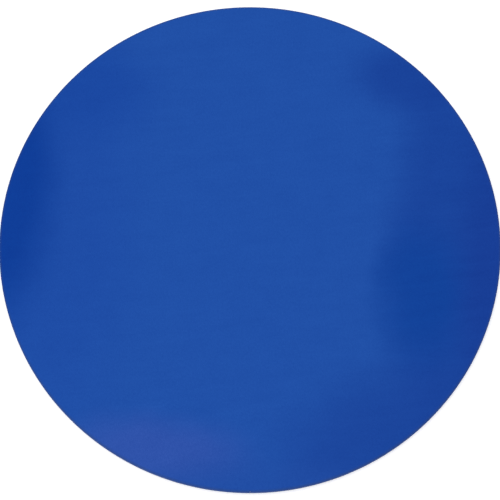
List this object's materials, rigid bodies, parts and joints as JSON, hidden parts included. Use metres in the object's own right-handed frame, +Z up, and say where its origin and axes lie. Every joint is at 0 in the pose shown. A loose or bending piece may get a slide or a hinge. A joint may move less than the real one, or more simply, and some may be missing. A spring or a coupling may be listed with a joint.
{
  "type": "folding card table top",
  "caption": "Round cloth-covered table top that folds face to face on concealed link hinges, with slide bolts, a drop handle and closing straps underneath.",
  "frame": {"origin": "centre of the disc, on the surface that the feet stand on", "axes": "+Z up through the playing face, Y along the fold line, +X towards the half that folds over"},
  "size_m": [1.219, 1.2192, 0.029],
  "materials": {
    "playing_cloth": "royal blue brushed felt, soft matt nap",
    "foam": "thin black closed-cell foam",
    "plywood": "birch plywood, bare edge",
    "hardwood": "oiled beech band",
    "lining": "black non-woven lining",
    "rubber": "black moulded rubber",
    "zinc": "zinc plated",
    "nickel": "satin nickel sheet",
    "steel": "bright drawn steel",
    "hinge_brass": "cast and machined brass",
    "brass_screw": "brass screw",
    "vinyl": "black vinyl sleeve",
    "webbing": "black woven webbing",
    "hook_tape": "black hook tape",
    "loop_tape": "black loop tape"
  },
  "bodies": {
    "left_half": {"left_board": "plywood", "left_edge_band": "hardwood", "left_foam_underlay": "foam", "left_playing_cloth": "playing_cloth", "left_lining": "lining", "left_staples": "zinc", "left_feet": "rubber", "left_foot_screws": "zinc", "left_hinge_bodies": "hinge_brass", "left_hinge_pins": "steel", "left_hinge_screws": "brass_screw", "bolt_guides": "nickel", "bolt_guide_screws": "zinc", "handle_brackets": "nickel", "handle_screws": "zinc", "strap_brackets": "nickel", "strap_bracket_screws": "zinc", "strap_pins": "steel"},
    "right_half": {"right_board": "plywood", "right_edge_band": "hardwood", "right_foam_underlay": "foam", "right_playing_cloth": "playing_cloth", "right_lining": "lining", "right_staples": "zinc", "right_feet": "rubber", "right_foot_screws": "zinc", "right_hinge_bodies": "hinge_brass", "right_hinge_pins": "steel", "right_hinge_screws": "brass_screw", "bolt_keepers": "nickel", "keeper_screws": "zinc", "loop_patches": "loop_tape"},
    "left_links": {"left_hinge_links": "steel", "left_guide_pins": "steel"},
    "right_links": {"right_hinge_links": "steel", "right_guide_pins": "steel"},
    "front_bolt": {"front_slide_bolt": "steel"},
    "rear_bolt": {"rear_slide_bolt": "steel"},
    "handle": {"handle_bail": "steel", "handle_sleeve": "vinyl"},
    "front_closing_strap": {"front_strap": "webbing", "front_strap_hooks": "hook_tape"},
    "rear_closing_strap": {"rear_strap": "webbing", "rear_strap_hooks": "hook_tape"}
  },
  "joints": [
    {"name": "fold", "type": "hinge", "parent": "left_half", "child": "right_half", "pos_m": [0, 0, 0.0292], "axis": [0, -1, 0], "range_deg": [0, 179.8]},
    {"name": "left_links_turn", "type": "hinge", "parent": "left_half", "child": "left_links", "pos_m": [-0.0025, 0, 0.022], "axis": [0, -1, 0], "range_deg": [0, 90]},
    {"name": "right_links_turn", "type": "hinge", "parent": "right_half", "child": "right_links", "pos_m": [0.0025, 0, 0.022], "axis": [0, -1, 0], "range_deg": [-90, 0]},
    {"name": "front_bolt_slide", "type": "slide", "parent": "left_half", "child": "front_bolt", "axis": [1, 0, 0], "range_m": [0, 0.028]},
    {"name": "rear_bolt_slide", "type": "slide", "parent": "left_half", "child": "rear_bolt", "axis": [1, 0, 0], "range_m": [0, 0.028]},
    {"name": "handle_swing", "type": "hinge", "parent": "left_half", "child": "handle", "pos_m": [-0.5516, 0, 0.0055], "axis": [0, 1, 0], "range_deg": [0, 180]},
    {"name": "front_strap_swing", "type": "hinge", "parent": "left_half", "child": "front_closing_strap", "pos_m": [-0.51462, -0.205, 0.00565], "axis": [0, 1, 0], "range_deg": [0, 180]},
    {"name": "rear_strap_swing", "type": "hinge", "parent": "left_half", "child": "rear_closing_strap", "pos_m": [-0.51462, 0.205, 0.00565], "axis": [0, 1, 0], "range_deg": [0, 180]}
  ],
  "couplings": [
    {"joint": "left_links_turn", "follows": "fold", "ratio": 0.5},
    {"joint": "right_links_turn", "follows": "fold", "ratio": -0.5}
  ]
}
